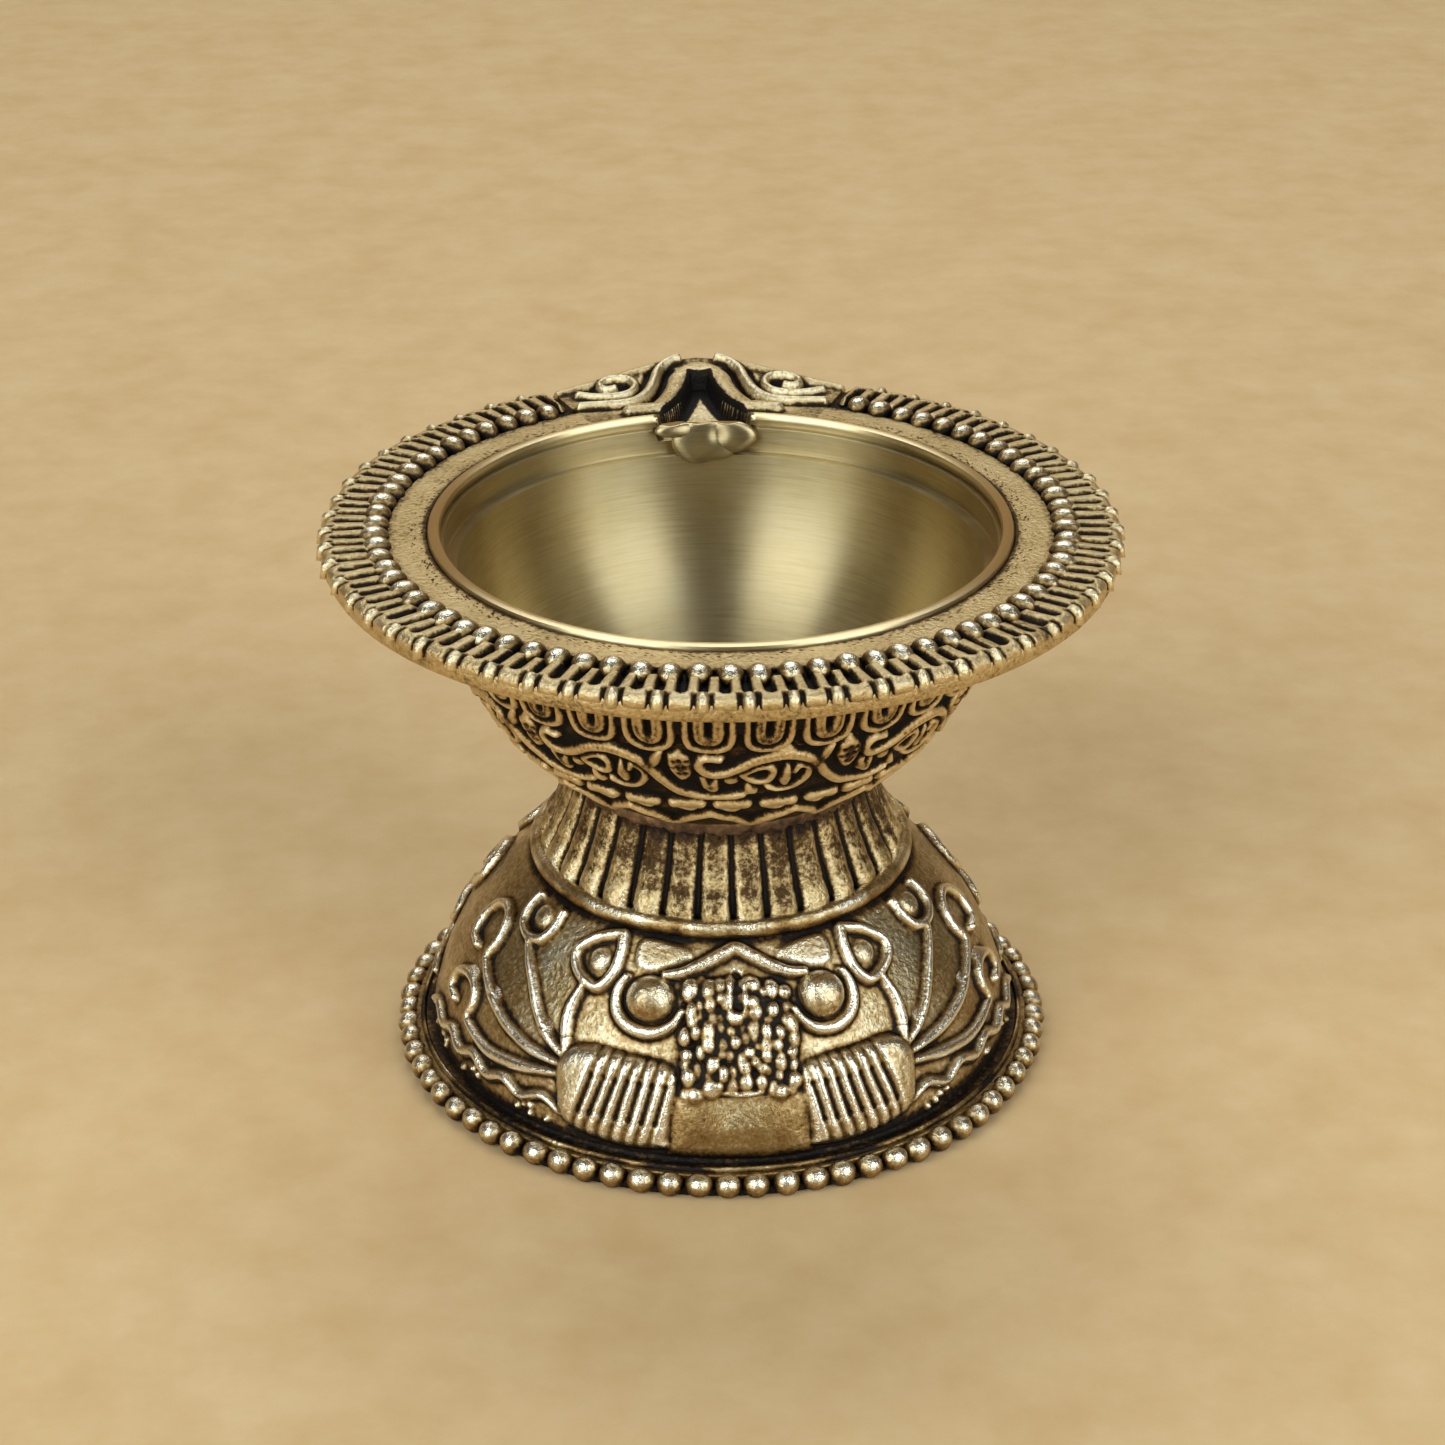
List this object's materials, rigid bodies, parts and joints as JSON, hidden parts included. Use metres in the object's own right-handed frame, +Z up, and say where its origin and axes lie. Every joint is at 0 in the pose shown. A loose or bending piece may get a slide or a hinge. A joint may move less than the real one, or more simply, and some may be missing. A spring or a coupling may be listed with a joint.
{
  "type": "footed oil lamp",
  "caption": "Footed brass oil lamp (diya): round bowl with a beaded, fringed rim and wick spout, fluted neck, and domed foot with applied scroll and feather ornament.",
  "frame": {"origin": "centre of the base, on the surface that the lamp stands on", "axes": "+Z up along the lamp's axis, +Y towards the wick spout, the ornament's front on -Y"},
  "size_m": [0.07, 0.072, 0.0523],
  "materials": {
    "antique_brass": "cast, dark patina in the recesses, buffed high points",
    "turned_brass": "turned, satin",
    "braze": "rough, as brazed"
  },
  "bodies": {
    "root": {"foot_shell": "antique_brass", "base_wire": "antique_brass", "foot_beads": "antique_brass", "neck_ring": "antique_brass", "neck_collar": "antique_brass", "neck_braze": "braze", "bowl_cup": "turned_brass", "bowl_arches": "antique_brass", "bowl_vine": "antique_brass", "bowl_buds": "antique_brass", "bowl_leaves": "antique_brass", "bowl_dashes": "antique_brass", "bowl_petals": "antique_brass", "rim_flange": "antique_brass", "rim_beads": "antique_brass", "rim_fringe": "antique_brass", "wick_spout": "antique_brass", "spout_ribs": "antique_brass", "spout_scrolls": "antique_brass", "wick_rest": "turned_brass", "foot_brows": "antique_brass", "foot_balls": "antique_brass", "ball_crescents": "antique_brass", "foot_pebbles": "antique_brass", "foot_sheaves": "antique_brass", "foot_panels": "antique_brass", "feather_stems": "antique_brass", "feather_eyes": "antique_brass", "eye_studs": "antique_brass", "foot_ruffles": "antique_brass"}
  },
  "joints": []
}
